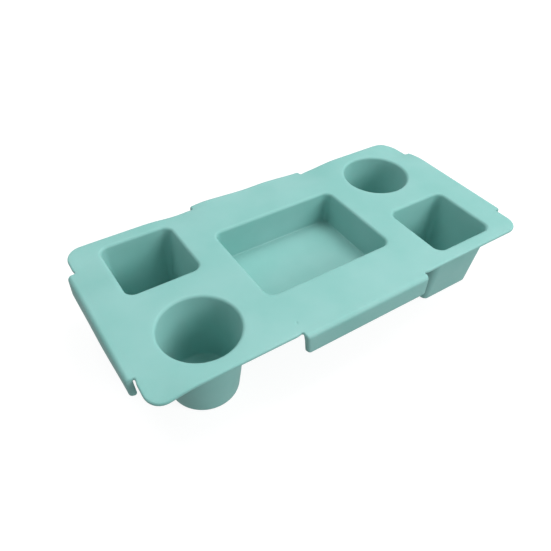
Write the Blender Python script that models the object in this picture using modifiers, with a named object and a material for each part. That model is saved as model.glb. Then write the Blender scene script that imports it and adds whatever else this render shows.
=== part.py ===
"""Silicone soap mould: a thin deck with two round and two square deep pockets, a shallow
rectangular tray between them and four turned-down flanges.

The mould is one silicone moulding.  Each moulded region is its own closed solid, parted from its
neighbours by a hairline gap, so that the flanges can flex and the floors can be pushed in.
Lengths are in metres, +Z is up, the pocket bottoms rest on z = 0 and the deck is centred on x = y = 0.
"""
import math

import bmesh
import bpy

MM = 0.001

# ---- driving dimensions -----------------------------------------------------------------------
HEIGHT = 52.0 * MM          # resting plane to the top of the deck
DECK_X = 142.0 * MM         # deck half length
DECK_Y = 70.0 * MM          # deck half width
DECK_R = 11.0 * MM          # deck corner radius
DECK_T = 2.4 * MM           # deck thickness
DECK_EDGE_R = 0.9 * MM      # rounding of the deck's outer edge
WALL = 2.4 * MM             # wall thickness of pockets and tray
GAP = 0.3 * MM              # parting gap between moulded regions
LIP_R = 1.8 * MM            # rounding of every mouth

POCKET_X = 96.5 * MM        # pocket centres
POCKET_Y = 34.8 * MM
ROUND_MOUTH_R = 25.0 * MM   # round pocket, mouth radius at the deck's top face
ROUND_FLOOR_R = 20.0 * MM   # round pocket, inside radius at the floor
SQUARE_MOUTH = 25.2 * MM    # square pocket, mouth half width
SQUARE_MOUTH_R = 6.3 * MM
SQUARE_FLOOR = 20.0 * MM    # square pocket, inside half width at the floor
SQUARE_FLOOR_R = 4.2 * MM
FLOOR_T = 2.4 * MM          # thickness of every floor
FOOT_LIFT = 0.3 * MM        # the floors sit this far above the ring that the pocket stands on
FOOT_R = 1.6 * MM           # outer rounding at the foot of a pocket

TRAY_MOUTH_X = 49.0 * MM    # tray, mouth half length and half width
TRAY_MOUTH_Y = 35.2 * MM
TRAY_MOUTH_R = 6.6 * MM
TRAY_FLOOR_X = 47.2 * MM    # tray, inside half length and half width at the floor
TRAY_FLOOR_Y = 33.4 * MM
TRAY_FLOOR_R = 5.0 * MM
TRAY_DEPTH = 25.0 * MM      # deck top to the tray's inner floor

FLANGE_HALF = 48.0 * MM     # half length of every turned-down flange
FLANGE_OUT = 4.6 * MM       # how far a flange's outer face stands beyond the deck's edge
FLANGE_DROP = 16.2 * MM     # deck top to the flange's lower edge
FLANGE_STEP = 0.3 * MM      # set-back of a flange's inner face below the deck
FLANGE_BEND_R = 3.0 * MM    # outer radius of the bend at the top of a flange
FLANGE_EDGE_R = 0.9 * MM    # rounding of the flange's edges

ROUND_STEPS = 64            # segments around a round pocket
CORNER_STEPS = 8            # segments around each rounded corner

DECK_UNDER = HEIGHT - DECK_T
WALL_TOP = DECK_UNDER - GAP
FLOOR_TOP = FOOT_LIFT + FLOOR_T
TRAY_FLOOR_TOP = HEIGHT - TRAY_DEPTH

COLLECTION = "silicone_soap_mould"
CUTTERS = "silicone_soap_mould_cutters"

# name, centre x sign, centre y sign
ROUND_POCKETS = (("round_pocket_front_left", -1, -1), ("round_pocket_back_right", 1, 1))
SQUARE_POCKETS = (("square_pocket_back_left", -1, 1), ("square_pocket_front_right", 1, -1))
# name, outward direction of the flange
FLANGES = (
    ("flange_front", 0, -1),
    ("flange_back", 0, 1),
    ("flange_left", -1, 0),
    ("flange_right", 1, 0),
)


# ---- scene helpers ----------------------------------------------------------------------------
def clear_scene():
    for old in list(bpy.data.objects):
        bpy.data.objects.remove(old, do_unlink=True)


def collection(name, hidden=False):
    """A collection linked to the scene."""
    made = bpy.data.collections.get(name) or bpy.data.collections.new(name)
    if made.name not in bpy.context.scene.collection.children:
        bpy.context.scene.collection.children.link(made)
    made.hide_render = hidden
    return made


def silicone(name, shade):
    """Matt silicone, slightly lighter or darker with shade."""
    made = bpy.data.materials.new(name)
    made.use_nodes = True
    shader = made.node_tree.nodes["Principled BSDF"]
    shader.inputs["Base Color"].default_value = (0.33 * shade, 0.64 * shade, 0.59 * shade, 1.0)
    shader.inputs["Roughness"].default_value = 0.55
    shader.inputs["IOR"].default_value = 1.41
    return made


def add_object(name, mesh, place, cutter=False):
    """Put a mesh in the scene under its own name."""
    made = bpy.data.objects.new(name, mesh)
    if cutter:
        collection(CUTTERS, hidden=True).objects.link(made)
        made.hide_render = True
        made.display_type = "WIRE"
    else:
        collection(COLLECTION).objects.link(made)
    made.location = place
    return made


def finish_object(obj, shade):
    """Own material, smooth shading with crisp edges kept."""
    obj.data.materials.append(silicone(obj.name + "_silicone", shade))
    for face in obj.data.polygons:
        face.use_smooth = True
    obj.data.set_sharp_from_angle(angle=math.radians(38.0))
    return obj


# ---- outlines ---------------------------------------------------------------------------------
def arc(cx, cy, radius, start, end, steps):
    """Points on a circle from start to end, in degrees, both ends included."""
    points = []
    for i in range(steps + 1):
        a = math.radians(start + (end - start) * i / steps)
        points.append((cx + radius * math.cos(a), cy + radius * math.sin(a)))
    return points


def rounded_rectangle(half_x, half_y, radius, steps=CORNER_STEPS):
    """Anticlockwise outline of a rectangle with round corners."""
    points = []
    for sx, sy, start in ((1, 1, 0), (-1, 1, 90), (-1, -1, 180), (1, -1, 270)):
        cx = sx * (half_x - radius)
        cy = sy * (half_y - radius)
        points += arc(cx, cy, radius, start, start + 90, steps)
    return points


# ---- solids -----------------------------------------------------------------------------------
def prism(name, outline, low, high):
    """Straight extrusion of an outline from low to high."""
    work = bmesh.new()
    base = [work.verts.new((x, y, low)) for x, y in outline]
    face = work.faces.new(base)
    grown = bmesh.ops.extrude_face_region(work, geom=[face])
    lifted = [item for item in grown["geom"] if isinstance(item, bmesh.types.BMVert)]
    bmesh.ops.translate(work, verts=lifted, vec=(0.0, 0.0, high - low))
    bmesh.ops.recalc_face_normals(work, faces=work.faces)
    mesh = bpy.data.meshes.new(name)
    work.to_mesh(mesh)
    work.free()
    return mesh


def loft(name, sections, ring):
    """Skin a list of (outline, z) sections that have equal point counts.

    A ring joins its last section to its first, otherwise both ends are capped.
    """
    work = bmesh.new()
    rows = [[work.verts.new((x, y, z)) for x, y in outline] for outline, z in sections]
    count = len(rows[0])
    pairs = list(zip(rows, rows[1:]))
    if ring:
        pairs.append((rows[-1], rows[0]))
    for above, below in pairs:
        for i in range(count):
            j = (i + 1) % count
            work.faces.new((above[i], below[i], below[j], above[j]))
    if not ring:
        work.faces.new(rows[0])
        work.faces.new(list(reversed(rows[-1])))
    bmesh.ops.recalc_face_normals(work, faces=work.faces)
    mesh = bpy.data.meshes.new(name)
    work.to_mesh(mesh)
    work.free()
    return mesh


def turned(name, profile, steps=ROUND_STEPS, closed=True):
    """Turn an (r, z) profile about +Z with a Screw modifier."""
    mesh = bpy.data.meshes.new(name)
    points = [(r, 0.0, z) for r, z in profile]
    edges = [(i, i + 1) for i in range(len(points) - 1)]
    if closed:
        edges.append((len(points) - 1, 0))
    mesh.from_pydata(points, edges, [])
    mesh.update()
    return mesh


def add_screw(obj, steps=ROUND_STEPS):
    """Screw modifier for a turned profile."""
    screw = obj.modifiers.new("turn", "SCREW")
    screw.axis = "Z"
    screw.angle = math.tau
    screw.steps = steps
    screw.render_steps = steps
    screw.use_merge_vertices = True
    screw.merge_threshold = 0.00001
    screw.use_smooth_shade = True
    return screw


def apply_modifiers(obj):
    """Replace an object's mesh with its evaluated mesh."""
    graph = bpy.context.evaluated_depsgraph_get()
    baked = bpy.data.meshes.new_from_object(obj.evaluated_get(graph))
    obj.modifiers.clear()
    obj.data = baked
    return obj


def add_bevel(obj, width, segments, angle):
    """Round the edges that turn more sharply than angle."""
    bevel = obj.modifiers.new("round_edges", "BEVEL")
    bevel.width = width
    bevel.segments = segments
    bevel.limit_method = "ANGLE"
    bevel.angle_limit = math.radians(angle)
    bevel.use_clamp_overlap = False
    bevel.miter_outer = "MITER_SHARP"
    return bevel


def cut(obj, cutter):
    """Take a cutter out of an object."""
    boolean = obj.modifiers.new("cut_" + cutter.name, "BOOLEAN")
    boolean.operation = "DIFFERENCE"
    boolean.solver = "EXACT"
    boolean.object = cutter
    return boolean


# ---- mouth cutters ----------------------------------------------------------------------------
def slope_at(mouth, floor, floor_top, z):
    """Inside half size of a tapered pocket at height z."""
    return floor + (mouth - floor) * (z - floor_top) / (HEIGHT - floor_top)


def mouth_profile(mouth, floor, floor_top):
    """(inside half size, z) down through the deck, flared at the lip and clear at both ends."""
    steps = 5
    points = [(mouth + LIP_R, HEIGHT + 2.0 * MM)]
    for i in range(steps + 1):
        a = math.radians(90.0 * i / steps)
        inside = mouth + LIP_R * (1.0 - math.sin(a))
        points.append((inside, HEIGHT - LIP_R * (1.0 - math.cos(a))))
    low = DECK_UNDER - 1.0 * MM
    points.append((slope_at(mouth, floor, floor_top, low), low))
    return points


def round_mouth_cutter(name, place):
    """Flared plug for a round mouth."""
    profile = mouth_profile(ROUND_MOUTH_R, ROUND_FLOOR_R, FLOOR_TOP)
    closed = [(0.0, profile[0][1])] + profile + [(0.0, profile[-1][1])]
    plug = add_object(name, turned(name, closed, closed=False), place, cutter=True)
    add_screw(plug)
    return plug


def square_mouth_cutter(name, place, mouth, floor, radius, floor_top):
    """Flared plug for a mouth with straight sides; mouth and floor are (half x, half y)."""
    sections = []
    along_x = mouth_profile(mouth[0], floor[0], floor_top)
    along_y = mouth_profile(mouth[1], floor[1], floor_top)
    for (half_x, z), (half_y, _) in zip(along_x, along_y):
        corner = radius + (half_x - mouth[0])
        sections.append((rounded_rectangle(half_x, half_y, corner), z))
    return add_object(name, loft(name, sections, ring=False), place, cutter=True)


# ---- sub-parts --------------------------------------------------------------------------------
def make_deck():
    """Flat deck with five mouths."""
    outline = rounded_rectangle(DECK_X, DECK_Y, DECK_R, 10)
    deck = add_object("deck", prism("deck", outline, DECK_UNDER, HEIGHT), (0, 0, 0))
    add_bevel(deck, DECK_EDGE_R, 3, 60)
    apply_modifiers(deck)
    plugs = []
    for name, sx, sy in ROUND_POCKETS:
        plugs.append(round_mouth_cutter(name + "_plug", (sx * POCKET_X, sy * POCKET_Y, 0)))
    for name, sx, sy in SQUARE_POCKETS:
        place = (sx * POCKET_X, sy * POCKET_Y, 0)
        mouth = (SQUARE_MOUTH, SQUARE_MOUTH)
        floor = (SQUARE_FLOOR, SQUARE_FLOOR)
        plugs.append(square_mouth_cutter(name + "_plug", place, mouth, floor, SQUARE_MOUTH_R, FLOOR_TOP))
    mouth = (TRAY_MOUTH_X, TRAY_MOUTH_Y)
    floor = (TRAY_FLOOR_X, TRAY_FLOOR_Y)
    plugs.append(square_mouth_cutter("tray_plug", (0, 0, 0), mouth, floor, TRAY_MOUTH_R, TRAY_FLOOR_TOP))
    for plug in plugs:
        cut(deck, plug)
    return finish_object(deck, 1.0)


def round_wall(name, place):
    """Tapered round wall, open at the top and at the foot."""
    top_in = slope_at(ROUND_MOUTH_R, ROUND_FLOOR_R, FLOOR_TOP, WALL_TOP)
    foot_in = slope_at(ROUND_MOUTH_R, ROUND_FLOOR_R, FLOOR_TOP, 0.0)
    foot_out = foot_in + WALL
    profile = [(top_in + WALL, WALL_TOP), (foot_out + 0.1 * MM, FOOT_R)]
    for i in range(1, 5):
        a = math.radians(90.0 * i / 4)
        profile.append((foot_out - FOOT_R * (1 - math.cos(a)), FOOT_R * (1 - math.sin(a))))
    profile += [(foot_in, 0.0), (top_in, WALL_TOP)]
    wall = add_object(name, turned(name, profile), place)
    add_screw(wall)
    return finish_object(wall, 0.96)


def round_floor(name, place):
    """Flat round floor that can be pushed up inside its wall."""
    low = slope_at(ROUND_MOUTH_R, ROUND_FLOOR_R, FLOOR_TOP, FOOT_LIFT) - GAP
    high = slope_at(ROUND_MOUTH_R, ROUND_FLOOR_R, FLOOR_TOP, FLOOR_TOP) - GAP
    profile = [(0.0, FLOOR_T), (high, FLOOR_T), (low, 0.0), (0.0, 0.0)]
    floor = add_object(name, turned(name, profile, closed=False), (place[0], place[1], FOOT_LIFT))
    add_screw(floor)
    return finish_object(floor, 0.92)


def tapered_wall(name, place, mouth, floor, mouth_r, floor_r, floor_top, foot):
    """Tapered wall with four straight sides, open at the top and at the foot."""
    def inside(z):
        half_x = slope_at(mouth[0], floor[0], floor_top, z)
        half_y = slope_at(mouth[1], floor[1], floor_top, z)
        radius = slope_at(mouth_r, floor_r, floor_top, z)
        return half_x, half_y, radius

    def section(z, grow):
        half_x, half_y, radius = inside(z)
        return rounded_rectangle(half_x + grow, half_y + grow, radius + grow), z

    sections = [section(WALL_TOP, WALL), section(foot + FOOT_R, WALL)]
    for i in range(1, 5):
        a = math.radians(90.0 * i / 4)
        z = foot + FOOT_R * (1 - math.sin(a))
        sections.append(section(z, WALL - FOOT_R * (1 - math.cos(a))))
    sections.append(section(foot, 0.0))
    sections.append(section(WALL_TOP, 0.0))
    wall = add_object(name, loft(name, sections, ring=True), place)
    return finish_object(wall, 0.96)


def tapered_floor(name, place, mouth, floor, mouth_r, floor_r, floor_top):
    """Flat floor with round corners that can be pushed up inside its wall."""
    sections = []
    for z in (floor_top, floor_top - FLOOR_T):
        half_x = slope_at(mouth[0], floor[0], floor_top, z) - GAP
        half_y = slope_at(mouth[1], floor[1], floor_top, z) - GAP
        radius = slope_at(mouth_r, floor_r, floor_top, z) - GAP
        sections.append((rounded_rectangle(half_x, half_y, radius), z - (floor_top - FLOOR_T)))
    place = (place[0], place[1], floor_top - FLOOR_T)
    made = add_object(name, loft(name, sections, ring=False), place)
    return finish_object(made, 0.92)


def make_pockets():
    """Two round and two square deep pockets, each a wall and a push-up floor."""
    for name, sx, sy in ROUND_POCKETS:
        place = (sx * POCKET_X, sy * POCKET_Y, 0)
        round_wall(name + "_wall", place)
        round_floor(name + "_floor", place)
    mouth = (SQUARE_MOUTH, SQUARE_MOUTH)
    floor = (SQUARE_FLOOR, SQUARE_FLOOR)
    for name, sx, sy in SQUARE_POCKETS:
        place = (sx * POCKET_X, sy * POCKET_Y, 0)
        tapered_wall(name + "_wall", place, mouth, floor, SQUARE_MOUTH_R, SQUARE_FLOOR_R, FLOOR_TOP, 0.0)
        tapered_floor(name + "_floor", place, mouth, floor, SQUARE_MOUTH_R, SQUARE_FLOOR_R, FLOOR_TOP)


def make_tray():
    """Shallow tray in the middle of the deck."""
    mouth = (TRAY_MOUTH_X, TRAY_MOUTH_Y)
    floor = (TRAY_FLOOR_X, TRAY_FLOOR_Y)
    foot = TRAY_FLOOR_TOP - FLOOR_T - FOOT_LIFT
    tapered_wall("tray_wall", (0, 0, 0), mouth, floor, TRAY_MOUTH_R, TRAY_FLOOR_R, TRAY_FLOOR_TOP, foot)
    tapered_floor("tray_floor", (0, 0, 0), mouth, floor, TRAY_MOUTH_R, TRAY_FLOOR_R, TRAY_FLOOR_TOP)


def flange_section():
    """Outline of a flange in (outward, up), measured from its flex line at the deck's top edge.

    Below the deck the inner face hangs almost flush with the deck's edge, set back by a shallow
    step so that it stays clear of the edge when the flange flexes inwards.
    """
    inner = GAP / 2
    out = FLANGE_OUT
    step = FLANGE_STEP
    points = [(inner, 0.0)]
    points += arc(out - FLANGE_BEND_R, -FLANGE_BEND_R, FLANGE_BEND_R, 90, 0, 6)
    points += [(out, -FLANGE_DROP), (inner + step, -FLANGE_DROP)]
    points += [(inner + step, -DECK_T - 3 * step), (inner + step / 2, -DECK_T - step), (inner, -DECK_T)]
    return points


def make_flange(name, dx, dy):
    """Turned-down flange whose origin lies on its flex line."""
    edge = (DECK_X if dx else DECK_Y) + GAP / 2
    mesh = prism(name, flange_section(), -FLANGE_HALF, FLANGE_HALF)
    # the section lies in (x, y) with its length along z: stand it up and face it outwards
    for vert in mesh.vertices:
        out, up, along = vert.co
        vert.co = (dx * out - dy * along, dy * out + dx * along, up)
    work = bmesh.new()
    work.from_mesh(mesh)
    bmesh.ops.recalc_face_normals(work, faces=work.faces)
    work.to_mesh(mesh)
    work.free()
    flange = add_object(name, mesh, (dx * edge, dy * edge, HEIGHT))
    add_bevel(flange, FLANGE_EDGE_R, 3, 50)
    return finish_object(flange, 0.98)


def main():
    clear_scene()
    make_deck()
    make_pockets()
    make_tray()
    for name, dx, dy in FLANGES:
        make_flange(name, dx, dy)
    bpy.context.view_layer.update()


main()
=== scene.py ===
import math

import bmesh
import bpy
import numpy as np
from mathutils import Matrix, Vector
from mathutils.geometry import delaunay_2d_cdt


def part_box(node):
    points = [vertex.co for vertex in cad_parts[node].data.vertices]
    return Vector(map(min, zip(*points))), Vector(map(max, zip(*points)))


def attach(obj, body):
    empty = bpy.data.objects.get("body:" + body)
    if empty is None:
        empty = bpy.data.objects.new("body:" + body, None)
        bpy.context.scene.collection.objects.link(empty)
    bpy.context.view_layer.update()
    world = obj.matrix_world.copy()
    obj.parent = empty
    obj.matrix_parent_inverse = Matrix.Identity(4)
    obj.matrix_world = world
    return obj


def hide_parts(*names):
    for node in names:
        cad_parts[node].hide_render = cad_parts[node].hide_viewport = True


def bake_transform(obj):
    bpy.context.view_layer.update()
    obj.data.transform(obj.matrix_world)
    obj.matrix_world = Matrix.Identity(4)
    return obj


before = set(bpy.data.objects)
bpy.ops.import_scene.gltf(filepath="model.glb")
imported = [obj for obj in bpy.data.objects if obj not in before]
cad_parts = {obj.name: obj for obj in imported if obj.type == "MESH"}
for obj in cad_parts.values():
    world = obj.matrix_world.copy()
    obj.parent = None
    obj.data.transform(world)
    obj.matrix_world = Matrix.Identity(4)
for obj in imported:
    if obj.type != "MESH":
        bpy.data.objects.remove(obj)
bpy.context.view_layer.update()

MM = 0.001

# ---- sizes read from the frame, in millimetres ------------------------------------------------
def box_mm(node):
    low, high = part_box(node)
    return np.array(low) / MM, np.array(high) / MM


DECK_LOW, DECK_HIGH = box_mm("deck")
HALF_X, HALF_Y = DECK_HIGH[0], DECK_HIGH[1]
TOP, UNDER = DECK_HIGH[2], DECK_LOW[2]
THICK = TOP - UNDER
FLANGE_LOW, FLANGE_HIGH = box_mm("flange_right")
FLANGE_HALF = FLANGE_HIGH[1]
FLANGE_OUT = FLANGE_HIGH[0] - HALF_X     # outer face beyond the deck's edge
FLANGE_FOOT = FLANGE_LOW[2]              # height of the flange's lower edge
POCKET_FLOOR = box_mm("round_pocket_front_left_floor")[1][2]
TRAY_FLOOR = box_mm("tray_floor")[1][2]
TRAY_FOOT = box_mm("tray_wall")[0][2]

# ---- shape details of the silicone skin, in millimetres ---------------------------------------
DECK_R = 11.0            # corner radius of the deck
TOP_EDGE_R = 1.15        # rounding of a free edge, upper side
LOW_EDGE_R = 0.95        # and lower side
LIP_R = 1.9              # rounding of every mouth
WALL = 2.4               # thickness of a hollow's wall
NOTCH_DEPTH = 0.5        # how far the deck's edge dips in beside a flange
NOTCH_HALF = 0.8         # inner corner radius between the deck's edge and a flange's end
NOTCH_RAMP = 3.5         # length over which the dip runs out
BEND_R = 3.0             # outer radius of a flange's bend
FLANGE_THICK = 4.4       # the hanging part, flush with the deck's edge on the inside
FULLER = 0.7             # how much fuller the roundings get towards a flange's lower edge
FULLER_REACH = 5.0       # within this length past the start of the bend
FLANGE_CORNER_R = 2.6    # lower corners of a flange
FILLET = 1.6             # where a wall leaves the deck's underside
LINER = 0.5              # how far outside the inner wall the floor's rim lies
SLEEVE = 0.35            # thickness of a base at the top of its wall
FOOT_R = WALL - LINER    # rounding around the foot of a pocket
STILL_BELOW = 20.0       # under this height the pockets don't follow the deck's sag
PITCH = 3.0              # spacing of the points inside a flat patch
ARC_STEPS = 5            # steps along every small rounding
CUT_STEPS = 36           # steps along a flange's root

# half widths of the hollows at the mouth and at the floor, with the corner radius at each
ROUND_MOUTH, ROUND_FLOOR = 25.0, 20.0
SQUARE_MOUTH, SQUARE_MOUTH_R = 25.2, 6.3
SQUARE_FLOOR, SQUARE_FLOOR_R = 20.0, 2.0
TRAY_MOUTH, TRAY_MOUTH_R = (49.0, 35.2), 6.4
TRAY_BASE, TRAY_BASE_R = (47.2, 33.4), 1.6
POCKET_CUT, TRAY_CUT = 21.0, 45.5        # heights where a base takes over from the wall
POCKET_FILLET, TRAY_FILLET = 1.6, 0.8    # around a floor


def smoothstep(t):
    t = np.clip(t, 0.0, 1.0)
    return t * t * (3 - 2 * t)


# ---- slight warp of the flexible moulding -----------------------------------------------------
# centre x, centre y, reach, drop: the soft edges sag a little between the stiff pockets
DIPS = (
    (142.0, 56.0, 24.0, 3.0),
    (142.0, 70.0, 16.0, 1.4),
    (-142.0, -70.0, 27.0, 3.0),
    (-60.0, 74.0, 26.0, 1.8),
    (46.0, 78.0, 38.0, 3.2),
    (0.0, 78.0, 42.0, 1.8),
    (-146.0, 44.0, 34.0, 1.8),
)
LEAN = 1.0               # the left flange leans in by this much at the bottom of its front end
SKEW = 1.4               # the front flange's left end runs in by this much at the bottom
GATE = (-47.0, -61.6)    # small gate mark on the deck
GATE_R, GATE_DEPTH = 1.3, 0.35


def sag(x, y):
    """Drop of the deck at a place, in millimetres."""
    total = np.zeros_like(x)
    for cx, cy, reach, drop in DIPS:
        away = np.hypot(x - cx, y - cy)
        total = total + drop * smoothstep(1.0 - away / reach)
    return total


# ---- a growing surface ------------------------------------------------------------------------
class Skin:
    """Points in millimetres and faces of one continuous surface."""

    def __init__(self):
        self.points = []
        self.faces = []
        self.hidden = set()      # faces inside the silicone, where two pieces meet

    def row(self, points):
        start = len(self.points)
        self.points.extend(tuple(float(c) for c in p) for p in points)
        return list(range(start, len(self.points)))

    def bridge(self, a, b, closed=True):
        """Quads between two rows of equal length."""
        count = len(a)
        for i in range(count if closed else count - 1):
            j = (i + 1) % count
            self.faces.append((a[i], a[j], b[j], b[i]))

    def rows(self, rings, closed=True):
        """Bridge each row of points to the next, return the index rows."""
        made = [self.row(ring) for ring in rings]
        for above, below in zip(made, made[1:]):
            self.bridge(above, below, closed)
        return made

    def close(self, a, b, closed=True):
        """Hidden quads between two rows."""
        start = len(self.faces)
        self.bridge(a, b, closed)
        self.hidden.update(range(start, len(self.faces)))

    def close_root(self, above, below, columns):
        """Parting face between the deck and a flange: a strip with half-round ends."""
        self.close(above, below, closed=False)
        for column in columns:
            self.hidden.add(len(self.faces))
            self.faces.append(tuple(column))


def inside(points, loop):
    """Which points lie inside a closed loop, by counting crossings."""
    x, y = points[:, 0], points[:, 1]
    hit = np.zeros(len(points), bool)
    ax, ay = loop[:, 0], loop[:, 1]
    bx, by = np.roll(ax, -1), np.roll(ay, -1)
    for i in range(len(loop)):
        if ay[i] == by[i]:
            continue
        crosses = (ay[i] > y) != (by[i] > y)
        at = ax[i] + (y - ay[i]) * (bx[i] - ax[i]) / (by[i] - ay[i])
        hit ^= crosses & (x < at)
    return hit


def near(points, loop, distance):
    """Which points lie closer than distance to a loop's sides."""
    a = loop
    b = np.roll(loop, -1, axis=0)
    close = np.zeros(len(points), bool)
    for p, q in zip(a, b):
        d = q - p
        t = np.clip(((points - p) @ d) / max(float(d @ d), 1e-12), 0, 1)
        close |= np.hypot(*(points - p - t[:, None] * d).T) < distance
    return close


def patch(skin, loops, indices, inner_points, lift):
    """Fill the flat region between the first loop and the others.

    indices are the skin's points along each loop, inner_points are extra plane points and
    lift turns (n, 2) plane points into (n, 3) places.
    """
    plane = [tuple(p) for loop in loops for p in loop]
    known = [i for row in indices for i in row]
    edges = []
    start = 0
    for loop in loops:
        n = len(loop)
        edges += [(start + i, start + (i + 1) % n) for i in range(n)]
        start += n
    keep = inside(inner_points, loops[0]) & ~near(inner_points, loops[0], PITCH * 0.35)
    for hole in loops[1:]:
        keep &= ~inside(inner_points, hole) & ~near(inner_points, hole, PITCH * 0.35)
    extra = inner_points[keep]
    known += skin.row(lift(extra))
    plane += [tuple(p) for p in extra]
    found = delaunay_2d_cdt([Vector(p) for p in plane], edges, [], 0, 1e-6)
    spots = np.array([tuple(v) for v in found[0]])
    origin = [ids[0] if ids else None for ids in found[3]]
    faces = [f for f in found[2] if all(origin[i] is not None for i in f)]
    middle = np.array([spots[list(f)].mean(axis=0) for f in faces])
    good = inside(middle, loops[0])
    for hole in loops[1:]:
        good &= ~inside(middle, hole)
    for face, ok in zip(faces, good):
        if ok:
            skin.faces.append(tuple(known[origin[i]] for i in face))


def lattice(low_x, high_x, low_y, high_y, pitch=PITCH):
    """Staggered points over a rectangle."""
    points = []
    for row, y in enumerate(np.arange(low_y, high_y, pitch * 0.87)):
        shift = pitch / 2 if row % 2 else 0.0
        points += [(x + shift, y) for x in np.arange(low_x, high_x, pitch)]
    return np.array(points)


def arc(cx, cy, radius, start, end, steps):
    a = np.radians(np.linspace(start, end, steps + 1))
    return np.stack([cx + radius * np.cos(a), cy + radius * np.sin(a)], 1)


def raised(plane, z):
    """Plane points at a height."""
    return np.column_stack([plane, np.full(len(plane), z)])


def run(p, q, steps):
    """Points strictly between p and q."""
    t = np.arange(1, steps)[:, None] / steps
    return np.array(p) + t * (np.array(q) - np.array(p))


def chain(parts):
    """Join point lists with straight runs: numbers between them are the runs' step counts."""
    points = np.array(parts[0])
    for steps, part in zip(parts[1::2], parts[2::2]):
        part = np.array(part)
        points = np.concatenate([points, run(points[-1], part[0], steps), part])
    return points


# ---- edge roundings ---------------------------------------------------------------------------
def edge_profile():
    """(inset, depth below the top) over a free edge, from the top face to the underside."""
    steps = []
    for a in np.radians(np.linspace(0, 90, ARC_STEPS + 1)):
        steps.append((TOP_EDGE_R * (1 - math.sin(a)), TOP_EDGE_R * (1 - math.cos(a))))
    for a in np.radians(np.linspace(90, 0, ARC_STEPS + 1)):
        steps.append((LOW_EDGE_R * (1 - math.sin(a)), THICK - LOW_EDGE_R * (1 - math.cos(a))))
    return steps


# ---- the deck's outline -----------------------------------------------------------------------
NOTCH_AT = FLANGE_HALF + NOTCH_HALF


def turned(points, turn):
    """(along, out) points of a side, turned to lie in (x, y); along runs anticlockwise."""
    along, out = points[:, 0], points[:, 1]
    x, y = out, along
    for _ in range(turn):
        x, y = -y, x
    return np.stack([x, y], 1)


def shoulder(edge, inset, steps=6):
    """Deck edge beside a flange, from the inner corner out to the full edge."""
    t = np.linspace(0, 1, steps + 1)
    dip = NOTCH_DEPTH * (1 - smoothstep(t))
    return np.stack([NOTCH_AT + NOTCH_RAMP * t, edge - inset - dip], 1)


def corner_path(turn, inset):
    """Edge from the end of one side's flange, around the deck's corner, to the next flange."""
    edge, corner = (HALF_X, HALF_Y) if turn % 2 == 0 else (HALF_Y, HALF_X)
    straight = corner - DECK_R - NOTCH_AT - NOTCH_RAMP
    bend = arc(corner - DECK_R, edge - DECK_R, DECK_R - inset, 90, 0, 14)
    start = turned(chain([shoulder(edge, inset), max(1, round(straight / PITCH)), bend]), turn)
    # the next side, seen from its own outward direction
    edge, corner = corner, edge
    straight = corner - DECK_R - NOTCH_AT - NOTCH_RAMP
    end = turned(shoulder(edge, inset)[::-1] * (-1, 1), (turn + 1) % 4)
    return np.concatenate([start, run(start[-1], end[0], max(1, round(straight / PITCH))), end])


def cut_line(turn, inset):
    """Straight line across the root of a flange, both ends included."""
    edge = HALF_X if turn % 2 == 0 else HALF_Y
    out = edge - NOTCH_DEPTH - inset
    along = np.linspace(-NOTCH_AT, NOTCH_AT, CUT_STEPS + 1)
    return turned(np.stack([along, np.full(len(along), out)], 1), turn)


# ---- pockets ----------------------------------------------------------------------------------
class Pocket:
    """A tapered hollow: its inside outline at any height, grown outwards by any distance.

    mouth and floor are (half width in x, half width in y, corner radius), sides the step counts
    along x and y, or None for a round hollow.
    """

    def __init__(self, name, heights, mouth, floor, sides, fillet):
        self.name = name
        low, high = box_mm(name + "_wall")
        self.centre = (low[:2] + high[:2]) / 2
        self.foot_z, self.floor_z, self.cut_z = heights
        self.mouth, self.floor = np.array(mouth[:2]), np.array(floor[:2])
        self.mouth_r, self.floor_r = mouth[2], floor[2]
        self.sides = sides
        self.fillet = fillet

    def outline(self, z, grow=0.0):
        t = (z - self.floor_z) / (TOP - self.floor_z)
        half = self.floor + (self.mouth - self.floor) * t + grow
        radius = self.floor_r + (self.mouth_r - self.floor_r) * t + grow
        if self.sides is None:
            loop = arc(0, 0, half[0], 0, 360, 96)[:-1]
        else:
            along_x, along_y = self.sides
            cx, cy = half[0] - radius, half[1] - radius
            loop = chain([
                arc(cx, cy, radius, 0, 90, 10), along_x,
                arc(-cx, cy, radius, 90, 180, 10), along_y,
                arc(-cx, -cy, radius, 180, 270, 10), along_x,
                arc(cx, -cy, radius, 270, 360, 10), along_y,
                [(cx + radius, cy)],
            ])[:-1]
        return loop + self.centre

    def ring(self, z, grow=0.0):
        return raised(self.outline(z, grow), z)

    def lip(self):
        """Mouth rounding and inner wall down to the cut."""
        rings = []
        for a in np.radians(np.linspace(0, 90, ARC_STEPS + 1)):
            z = TOP - LIP_R * (1 - math.cos(a))
            rings.append(self.ring(z, LIP_R * (1 - math.sin(a))))
        steps = max(2, round((TOP - LIP_R - self.cut_z) / 4.0))
        for z in np.linspace(TOP - LIP_R, self.cut_z, steps + 1)[1:]:
            rings.append(self.ring(z))
        return rings

    def outside(self):
        """Fillet under the deck, outer wall and foot rounding."""
        rings = []
        for a in np.radians(np.linspace(0, 90, ARC_STEPS + 1)):
            z = UNDER - FILLET * (1 - math.cos(a))
            rings.append(self.ring(z, WALL + FILLET * (1 - math.sin(a))))
        top, foot = UNDER - FILLET, self.foot_z + FOOT_R
        for z in np.linspace(top, foot, max(2, round((top - foot) / 4.0)) + 1)[1:]:
            rings.append(self.ring(z, WALL))
        for a in np.radians(np.linspace(0, 90, ARC_STEPS + 1))[1:]:
            z = self.foot_z + FOOT_R * (1 - math.sin(a))
            rings.append(self.ring(z, WALL - FOOT_R * (1 - math.cos(a))))
        return rings


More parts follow.
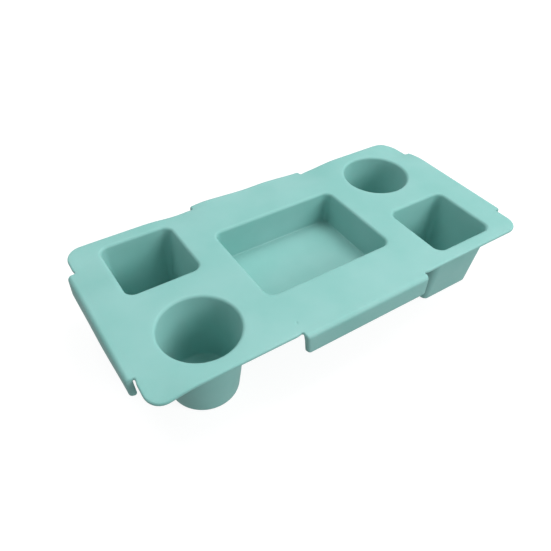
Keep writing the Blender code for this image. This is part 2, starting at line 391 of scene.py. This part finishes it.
HOLLOWS = []
POCKET_HEIGHTS = (0.0, POCKET_FLOOR, POCKET_CUT)
for pocket_name in ("round_pocket_front_left", "round_pocket_back_right"):
    wide, narrow = (ROUND_MOUTH,) * 3, (ROUND_FLOOR,) * 3
    HOLLOWS.append(Pocket(pocket_name, POCKET_HEIGHTS, wide, narrow, None, POCKET_FILLET))
for pocket_name in ("square_pocket_back_left", "square_pocket_front_right"):
    wide, narrow = (SQUARE_MOUTH, SQUARE_MOUTH, SQUARE_MOUTH_R), (SQUARE_FLOOR, SQUARE_FLOOR, SQUARE_FLOOR_R)
    HOLLOWS.append(Pocket(pocket_name, POCKET_HEIGHTS, wide, narrow, (13, 13), POCKET_FILLET))
wide, narrow = (*TRAY_MOUTH, TRAY_MOUTH_R), (*TRAY_BASE, TRAY_BASE_R)
HOLLOWS.append(Pocket("tray", (TRAY_FOOT, TRAY_FLOOR, TRAY_CUT), wide, narrow, (28, 19), TRAY_FILLET))


# ---- pieces -----------------------------------------------------------------------------------
def make_piece(name, skin, seeds):
    """Object from a skin; seeds are (place, direction) pairs that say which way each sheet faces."""
    work = bmesh.new()
    verts = [work.verts.new(Vector(p) * MM) for p in skin.points]
    for number, face in enumerate(skin.faces):
        added = work.faces.new([verts[i] for i in face])
        added.material_index = 1 if number in skin.hidden else 0
    bmesh.ops.remove_doubles(work, verts=work.verts, dist=0.00001)
    loose = [v for v in work.verts if not v.link_faces]
    bmesh.ops.delete(work, geom=loose, context="VERTS")
    bmesh.ops.recalc_face_normals(work, faces=work.faces)
    work.faces.ensure_lookup_table()
    for place, direction in seeds:
        place, direction = Vector(place) * MM, Vector(direction)
        seed = min(work.faces, key=lambda f: (f.calc_center_median() - place).length)
        island, stack = {seed}, [seed]
        while stack:
            for edge in stack.pop().edges:
                for other in edge.link_faces:
                    if other not in island:
                        island.add(other)
                        stack.append(other)
        if seed.normal.dot(direction) < 0:
            bmesh.ops.reverse_faces(work, faces=list(island))
    # hidden faces get sharp borders, so that they don't shade the surface beside them
    for face in work.faces:
        if face.material_index == 1:
            face.material_index = 0
            for edge in face.edges:
                edge.smooth = False
    mesh = bpy.data.meshes.new(name)
    work.to_mesh(mesh)
    work.free()
    for face in mesh.polygons:
        face.use_smooth = True
    made = bpy.data.objects.new(name, mesh)
    bpy.context.scene.collection.objects.link(made)
    return made


def warp(skin, only_high=True):
    """Let the soft edges sag; the lower half of every pocket keeps its shape."""
    points = np.array(skin.points)
    drop = sag(points[:, 0], points[:, 1])
    if only_high:
        drop = drop * smoothstep((points[:, 2] - STILL_BELOW) / (UNDER - 3.0 - STILL_BELOW))
    points[:, 2] -= drop
    skin.points = [tuple(p) for p in points]


def gate_points():
    """Extra points of the deck's top around the gate mark."""
    rings = [arc(0, 0, GATE_R * part, 0, 330, 11) for part in (0.35, 0.6, 0.8, 1.0, 1.25)]
    return np.concatenate([[(0.0, 0.0)]] + rings) + GATE


def gate_lift(plane):
    """Top face of the deck, with the gate mark pressed into it."""
    away = np.hypot(*(plane - GATE).T)
    return np.column_stack([plane, TOP - GATE_DEPTH * smoothstep(1 - away / GATE_R)])


def build_body():
    """Deck, mouths, walls and feet as one closed skin.

    Row 0 of a rounded edge lies on the top face and row -1 on the underside, so side 0 is the
    top and side 1 the underside throughout.
    """
    skin = Skin()
    ends = {}
    roots = {}
    wall_ends = {}
    for turn in range(4):
        rings = [raised(corner_path(turn, inset), TOP - depth) for inset, depth in edge_profile()]
        ends[turn] = skin.rows(rings, closed=False)
    for side, (level, inset) in enumerate(((TOP, TOP_EDGE_R), (UNDER, LOW_EDGE_R))):
        outer, outer_ids = [], []
        for turn in range(4):
            path = corner_path(turn, inset)
            across = cut_line((turn + 1) % 4, inset)[1:-1]
            across_ids = skin.row(raised(across, level))
            outer += [path, across]
            outer_ids += ends[turn][-side] + across_ids
            roots[turn, side] = [ends[turn][-side][-1]] + across_ids + [ends[(turn + 1) % 4][-side][0]]
        loops, ids = [np.concatenate(outer)], [outer_ids]
        for hollow in HOLLOWS:
            rings = hollow.lip() if side == 0 else hollow.outside()
            made = skin.rows(rings)
            loops.append(rings[0][:, :2])
            ids.append(made[0])
            if side == 0:
                wall_ends[hollow.name] = made[-1]
            else:
                liner = skin.row(hollow.ring(hollow.cut_z, LINER))
                skin.close(made[-1], liner)
                skin.close(liner, wall_ends[hollow.name])
        inner = lattice(-HALF_X, HALF_X, -HALF_Y, HALF_Y)
        if side == 0:
            away = np.hypot(*(inner - GATE).T)
            inner = np.concatenate([inner[away > GATE_R * 1.6], gate_points()])
            patch(skin, loops, ids, inner, gate_lift)
        else:
            patch(skin, loops, ids, inner, lambda p: raised(p, UNDER))
    for turn in range(4):
        columns = [[row[-1] for row in ends[turn]], [row[0] for row in ends[(turn + 1) % 4]]]
        skin.close_root(roots[turn, 0], roots[turn, 1], columns)
    warp(skin)
    body = make_piece("silicone_body", skin, [((0, 55, TOP), (0, 0, 1))])
    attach(body, "mould")
    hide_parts("deck", *[hollow.name + "_wall" for hollow in HOLLOWS])
    return body


def build_floor(hollow):
    """Lower inner wall, fillet and floor of a hollow, with its hidden sleeve and its underside."""
    skin = Skin()
    fillet = hollow.fillet
    rings = []
    top, low = hollow.cut_z, hollow.floor_z + fillet
    for z in np.linspace(top, low, max(4, round((top - low) / 1.5)) + 1):
        rings.append(hollow.ring(z))
    for a in np.radians(np.linspace(0, 90, 7))[1:]:
        rings.append(hollow.ring(hollow.floor_z + fillet * (1 - math.sin(a)), -fillet * (1 - math.cos(a))))
    made = skin.rows(rings)
    low_x, low_y = rings[-1][:, :2].min(axis=0)
    high_x, high_y = rings[-1][:, :2].max(axis=0)
    inner = lattice(low_x, high_x, low_y, high_y)
    patch(skin, [rings[-1][:, :2]], [made[-1]], inner, lambda p: raised(p, hollow.floor_z))
    sleeve = skin.row(hollow.ring(hollow.cut_z, SLEEVE))
    rim = hollow.ring(hollow.foot_z, LINER)
    foot = skin.row(rim)
    skin.close(made[0], sleeve)
    skin.close(sleeve, foot)
    patch(skin, [rim[:, :2]], [foot], inner, lambda p: raised(p, hollow.foot_z))
    warp(skin)
    cx, cy = hollow.centre
    seeds = [((cx, cy, hollow.floor_z), (0, 0, 1)), ((cx, cy, hollow.foot_z), (0, 0, -1))]
    name = hollow.name + "_floor"
    piece = make_piece(hollow.name + "_base", skin, seeds)
    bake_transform(piece)
    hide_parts(name)
    return piece


def flange_rows(edge):
    """Unrolled distances out from the deck's middle that the flange's points lie on."""
    bend = edge + FLANGE_OUT - BEND_R
    end = bend + BEND_R * math.pi / 2 + (TOP - BEND_R - FLANGE_FOOT)
    flat = np.linspace(edge - NOTCH_DEPTH + NOTCH_HALF, bend, 4)
    curve = np.linspace(bend, bend + BEND_R * math.pi / 2, 10)[1:]
    face = np.linspace(curve[-1], end - FLANGE_CORNER_R, 5)[1:]
    return bend, end, np.concatenate([flat, curve, face])


def build_flange(name, turn):
    """A turned-down flange with the strip of deck that it bends from."""
    edge = HALF_X if turn % 2 == 0 else HALF_Y
    bend, end, rows = flange_rows(edge)
    inner = edge + FLANGE_OUT - FLANGE_THICK

    def grow(u):
        return 1.0 + FULLER * smoothstep((u - bend) / FULLER_REACH)

    def fold(plane, depth):
        """(along, unrolled out) points at a depth below the outer face, bent into place."""
        along, u = plane[:, 0], plane[:, 1]
        if depth < THICK / 2:
            n = depth * grow(u)
            angle = np.clip((u - bend) / BEND_R, 0.0, math.pi / 2)
            down = np.maximum(u - bend - BEND_R * math.pi / 2, 0.0)
            out = np.minimum(u, bend) + (BEND_R - n) * np.sin(angle)
            z = TOP - n + (BEND_R - n) * (np.cos(angle) - 1.0) - down
        else:
            n = (THICK - depth) * grow(u)
            hang = smoothstep(u - inner)
            part = np.clip((u - inner) / (end - inner), 0.0, 1.0)
            out = np.minimum(u, inner) + n * hang
            z = UNDER + n * (1 - hang) - (UNDER - FLANGE_FOOT) * part
        fall = np.clip((TOP - BEND_R - z) / (TOP - BEND_R - FLANGE_FOOT), 0.0, 1.0)
        if turn == 2:
            out = out - LEAN * smoothstep(along / FLANGE_HALF) * fall
        if turn == 3:
            along = along + SKEW * smoothstep(-along / FLANGE_HALF) * fall
        spot = turned(np.stack([along, out], 1), turn)
        return np.column_stack([spot, z])

    def outline(inset):
        """Flat outline of the flange from one end of its root to the other."""
        level = edge - NOTCH_DEPTH + NOTCH_HALF
        half, r = FLANGE_HALF, FLANGE_CORNER_R
        fuller = inset * (1.0 + FULLER)
        left = np.array([(-half + inset * grow(u), u) for u in rows[1:-1]])
        right = np.array([(half - inset * grow(u), u) for u in rows[::-1][1:-1]])
        low_left = arc(-half + r, end - r, r - fuller, 180, 90, 6)
        low_right = arc(half - r, end - r, r - fuller, 90, 0, 6)
        return chain([
            arc(-NOTCH_AT, level, NOTCH_HALF + inset, 270, 360, 5), 1, left, 1, low_left, 30,
            low_right, 1, right, 1, arc(NOTCH_AT, level, NOTCH_HALF + inset, 180, 270, 5),
        ])

    skin = Skin()
    rings = [fold(outline(inset), depth) for inset, depth in edge_profile()]
    ends = skin.rows(rings, closed=False)
    roots = []
    for side, (depth, inset) in enumerate(((0.0, TOP_EDGE_R), (THICK, LOW_EDGE_R))):
        root = edge - NOTCH_DEPTH - inset
        along = np.linspace(NOTCH_AT, -NOTCH_AT, CUT_STEPS + 1)[1:-1]
        across = np.stack([along, np.full(len(along), root)], 1)
        loop = np.concatenate([outline(inset), across])
        across_ids = skin.row(fold(across, depth))
        ids = ends[-side] + across_ids
        roots.append([ends[-side][-1]] + across_ids + [ends[-side][0]])
        levels = np.concatenate([[edge - NOTCH_DEPTH + 0.3], rows[1:], [end - FLANGE_CORNER_R * 0.55]])
        places = np.linspace(2.5 - FLANGE_HALF, FLANGE_HALF - 2.5, CUT_STEPS - 1)
        spots = np.array([(a, u) for u in levels for a in places])
        patch(skin, [loop], [ids], spots, lambda p: fold(p, depth))
    skin.close_root(roots[0], roots[1], [[row[-1] for row in ends], [row[0] for row in ends]])
    warp(skin, only_high=False)
    middle = turned(np.array([[0.0, edge + FLANGE_OUT]]), turn)[0]
    outward = turned(np.array([[0.0, 1.0]]), turn)[0]
    seeds = [((middle[0], middle[1], FLANGE_FOOT + 6.0), (outward[0], outward[1], 0))]
    piece = make_piece(name + "_skin", skin, seeds)
    root = turned(np.array([[0.0, edge - NOTCH_DEPTH - LOW_EDGE_R]]), turn)[0]
    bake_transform(piece)
    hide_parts(name)
    return piece


# ---- silicone ---------------------------------------------------------------------------------
def silicone_material():
    """Matt silicone: faint mottling, fine moulded grain, soft translucency."""
    made = bpy.data.materials.new("mint_silicone")
    made.use_nodes = True
    tree = made.node_tree
    shader = tree.nodes["Principled BSDF"]
    shader.inputs["IOR"].default_value = 1.46
    shader.inputs["Sheen Weight"].default_value = 0.06
    shader.inputs["Sheen Roughness"].default_value = 0.5
    shader.inputs["Subsurface Weight"].default_value = 0.12
    shader.inputs["Subsurface Radius"].default_value = (0.5, 1.0, 0.9)
    shader.inputs["Subsurface Scale"].default_value = 0.003

    def node(kind, **values):
        item = tree.nodes.new(kind)
        for key, value in values.items():
            item.inputs[key].default_value = value
        return item

    place = tree.nodes.new("ShaderNodeTexCoord").outputs["Object"]
    cloud = node("ShaderNodeTexNoise", Scale=22.0, Detail=3.0, Roughness=0.5)
    tree.links.new(place, cloud.inputs["Vector"])
    tone = tree.nodes.new("ShaderNodeValToRGB")
    tone.color_ramp.elements[0].position = 0.35
    tone.color_ramp.elements[0].color = (0.208, 0.480, 0.446, 1.0)
    tone.color_ramp.elements[1].position = 0.68
    tone.color_ramp.elements[1].color = (0.250, 0.514, 0.485, 1.0)
    tree.links.new(cloud.outputs["Fac"], tone.inputs["Fac"])
    tree.links.new(tone.outputs["Color"], shader.inputs["Base Color"])

    haze = node("ShaderNodeTexNoise", Scale=60.0, Detail=2.0)
    tree.links.new(place, haze.inputs["Vector"])
    rough = tree.nodes.new("ShaderNodeMapRange")
    rough.inputs["To Min"].default_value = 0.44
    rough.inputs["To Max"].default_value = 0.60
    tree.links.new(haze.outputs["Fac"], rough.inputs["Value"])
    tree.links.new(rough.outputs["Result"], shader.inputs["Roughness"])

    wave = node("ShaderNodeTexNoise", Scale=38.0, Detail=1.0)
    tree.links.new(place, wave.inputs["Vector"])
    grain = node("ShaderNodeTexNoise", Scale=1400.0, Detail=2.0)
    tree.links.new(place, grain.inputs["Vector"])
    low = node("ShaderNodeBump", Strength=0.25, Distance=0.0012)
    tree.links.new(wave.outputs["Fac"], low.inputs["Height"])
    fine = node("ShaderNodeBump", Strength=0.12, Distance=0.0001)
    tree.links.new(grain.outputs["Fac"], fine.inputs["Height"])
    tree.links.new(low.outputs["Normal"], fine.inputs["Normal"])
    tree.links.new(fine.outputs["Normal"], shader.inputs["Normal"])
    return made


# ---- stage, lights and camera -----------------------------------------------------------------
def build_stage():
    """White floor plane that shows only a faint shadow; its light on the mould comes from the world."""
    mesh = bpy.data.meshes.new("floor")
    half = 4.0
    corners = [(-half, -half, 0), (half, -half, 0), (half, half, 0), (-half, half, 0)]
    mesh.from_pydata(corners, [], [(0, 1, 2, 3)])
    floor = bpy.data.objects.new("floor", mesh)
    bpy.context.scene.collection.objects.link(floor)
    floor.location.z = -0.0002
    floor.visible_diffuse = False
    floor.visible_glossy = False
    floor.visible_shadow = False
    paint = bpy.data.materials.new("pale_floor")
    paint.use_nodes = True
    shader = paint.node_tree.nodes["Principled BSDF"]
    shader.inputs["Base Color"].default_value = (0.20, 0.20, 0.20, 1.0)
    shader.inputs["Roughness"].default_value = 0.9
    shader.inputs["Specular IOR Level"].default_value = 0.0
    shader.inputs["Emission Color"].default_value = (1.0, 1.0, 1.0, 1.0)
    shader.inputs["Emission Strength"].default_value = 0.88
    mesh.materials.append(paint)


def add_light(name, place, target, size, power):
    data = bpy.data.lights.new(name, "AREA")
    data.shape = "DISK"
    data.size = size
    data.energy = power
    lamp = bpy.data.objects.new(name, data)
    bpy.context.scene.collection.objects.link(lamp)
    lamp.location = place
    aim = Vector(target) - Vector(place)
    lamp.rotation_euler = aim.to_track_quat("-Z", "Y").to_euler()


def build_lights():
    world = bpy.data.worlds.new("studio")
    world.use_nodes = True
    world.node_tree.nodes["Background"].inputs["Color"].default_value = (1.0, 1.0, 1.0, 1.0)
    world.node_tree.nodes["Background"].inputs["Strength"].default_value = 0.40
    bpy.context.scene.world = world
    aim = (0, 0, 0.03)
    add_light("key", (0.56, 0.16, 1.30), aim, 0.8, 9.0)
    add_light("front", (0.58, -1.09, 0.69), aim, 0.7, 9.4)
    add_light("side", (1.22, -0.21, 0.69), aim, 0.7, 2.2)
    add_light("back", (-0.37, 0.59, 1.24), aim, 0.7, 4.8)


def build_camera():
    azimuth, elevation, roll = math.radians(-34.622), math.radians(43.226), math.radians(2.053)
    target = Vector((-0.03565, -0.02176, 0.052))
    distance = 0.3458
    back = Vector((
        math.sin(azimuth) * math.cos(elevation),
        -math.cos(azimuth) * math.cos(elevation),
        math.sin(elevation),
    ))
    right = Vector((0, 0, 1)).cross(back).normalized()
    up = back.cross(right)
    side = right * math.cos(roll) + up * math.sin(roll)
    head = up * math.cos(roll) - right * math.sin(roll)
    data = bpy.data.cameras.new("camera")
    data.lens = 35.716
    data.sensor_width = 36.0
    data.clip_start = 0.01
    data.clip_end = 50.0
    camera = bpy.data.objects.new("camera", data)
    bpy.context.scene.collection.objects.link(camera)
    turn = Matrix((side, head, back)).transposed().to_4x4()
    camera.matrix_world = Matrix.Translation(target + back * distance) @ turn
    bpy.context.scene.camera = camera


def main():
    pieces = [build_body()]
    pieces += [build_floor(hollow) for hollow in HOLLOWS]
    for name, turn in (("flange_right", 0), ("flange_back", 1), ("flange_left", 2), ("flange_front", 3)):
        pieces.append(build_flange(name, turn))
    silicone = silicone_material()
    for piece in pieces:
        piece.data.materials.append(silicone)
    build_stage()
    build_lights()
    build_camera()
    bpy.context.scene.view_settings.view_transform = "Standard"
    bpy.context.view_layer.update()


main()
